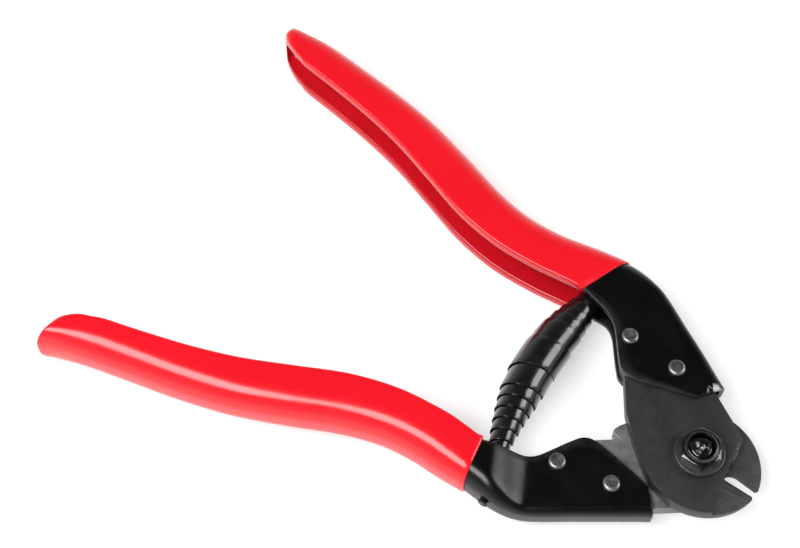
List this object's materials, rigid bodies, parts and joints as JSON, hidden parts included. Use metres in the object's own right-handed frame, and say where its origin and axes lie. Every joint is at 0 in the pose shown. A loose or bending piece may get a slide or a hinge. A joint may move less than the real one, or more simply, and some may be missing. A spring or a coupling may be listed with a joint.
{
  "type": "wire_rope_cutter",
  "caption": "Hand wire rope cutter with black pressed-steel channel handles, red dipped vinyl grips, crossing shear blades on a pivot bolt and a bowed volute return spring.",
  "frame": {"origin": "On the pivot axis, on the flat underside of the pivot bolt's head, which is also the plane the backs of the two grips lie on when the tool is put down.", "axes": "+X runs from the pivot along the tool's middle line to the jaws; +Y runs to the upper handle; +Z runs along the pivot axis from the bolt head to the nut."},
  "size_m": [0.1805, 0.1204, 0.0173],
  "materials": {
    "gloss_black_paint": "gloss black paint over pressed steel sheet",
    "red_vinyl_dip": "smooth glossy dipped red vinyl",
    "dark_blade_steel": "dark satin tool steel, ground bright at the jaws",
    "black_oxide": "glossy black oxide fasteners",
    "bright_rivet_steel": "bright bare steel, flat peened top",
    "black_spring_steel": "glossy blackened spring strip"
  },
  "bodies": {
    "lower_arm": {"lower_handle": "gloss_black_paint", "lower_grip": "red_vinyl_dip", "back_blade": "dark_blade_steel", "lower_rear_rivet": "bright_rivet_steel", "lower_front_rivet": "bright_rivet_steel", "lower_spring_stud": "gloss_black_paint", "pivot_bolt": "black_oxide", "pivot_nut": "black_oxide", "pivot_washer": "black_oxide", "return_spring": "black_spring_steel"},
    "upper_arm": {"upper_handle": "gloss_black_paint", "upper_grip": "red_vinyl_dip", "front_blade": "dark_blade_steel", "upper_rear_rivet": "bright_rivet_steel", "upper_front_rivet": "bright_rivet_steel", "upper_spring_stud": "gloss_black_paint"}
  },
  "joints": [
    {"name": "handle_hinge", "type": "hinge", "parent": "lower_arm", "child": "upper_arm", "pos_m": [0, 0, 0.0079], "axis": [0, 0, 1], "range_deg": [0, 26], "stiffness_Nm_per_rad": 1.2, "springref_deg": -20.05, "deforming": ["return_spring"]}
  ]
}
